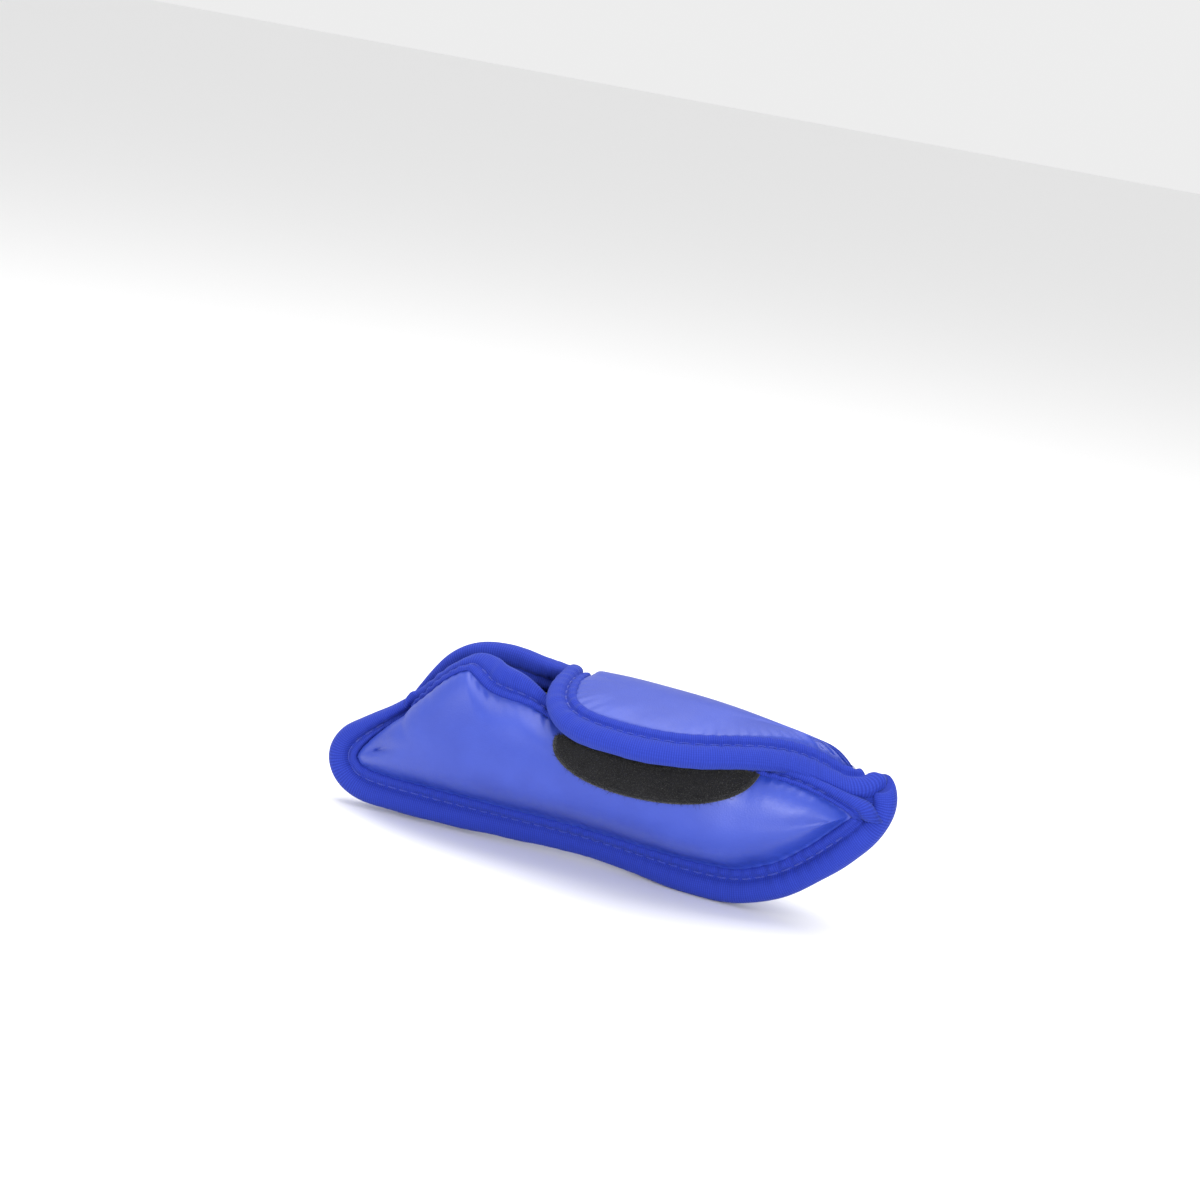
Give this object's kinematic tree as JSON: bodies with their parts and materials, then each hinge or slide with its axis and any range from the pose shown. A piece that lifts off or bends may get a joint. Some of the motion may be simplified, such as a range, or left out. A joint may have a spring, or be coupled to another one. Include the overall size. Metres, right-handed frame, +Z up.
{
  "type": "putter head cover",
  "caption": "Soft padded boot for a blade putter's head: faux-leather panels joined by knitted edge tape, with a neck opening and a hinged flap over the mouth.",
  "frame": {"origin": "middle of the pocket that the putter's head fills, 30 mm above the level of the sole's lowest line", "axes": "+X from the heel (neck opening) to the toe, +Y from the front panel to the back panel, +Z up, from the sole to the mouth"},
  "size_m": [0.1679, 0.0532, 0.0569],
  "materials": {
    "blue_leather": "smooth satin coated faux leather",
    "knit_tape": "ribbed stretch-knit binding tape",
    "padding": "soft white padding",
    "fleece": "short-pile fleece lining",
    "sewing_thread": "twisted polyester thread",
    "black_thread": "twisted polyester thread",
    "hook_and_loop": "fuzzy hook-and-loop fastener"
  },
  "bodies": {
    "shell": {"front_panel": "blue_leather", "front_foam": "padding", "front_lining": "fleece", "back_panel": "blue_leather", "back_foam": "padding", "back_lining": "fleece", "perimeter_binding": "knit_tape", "mouth_binding": "knit_tape", "neck_binding": "knit_tape", "perimeter_thread_front": "sewing_thread", "perimeter_thread_back": "sewing_thread", "mouth_thread": "sewing_thread", "neck_thread": "sewing_thread", "loop_patch": "hook_and_loop", "loop_patch_thread": "black_thread"},
    "flap": {"flap_panel": "blue_leather", "flap_foam": "padding", "flap_lining": "fleece", "flap_binding": "knit_tape", "flap_thread": "sewing_thread", "hook_patch": "hook_and_loop", "hook_patch_thread": "black_thread"}
  },
  "joints": [
    {"name": "flap_fold", "type": "hinge", "parent": "shell", "child": "flap", "pos_m": [0.02885, 0.01, 0.0222], "axis": [-0.9931, 0.06, 0.101], "range_deg": [0, 150]}
  ]
}
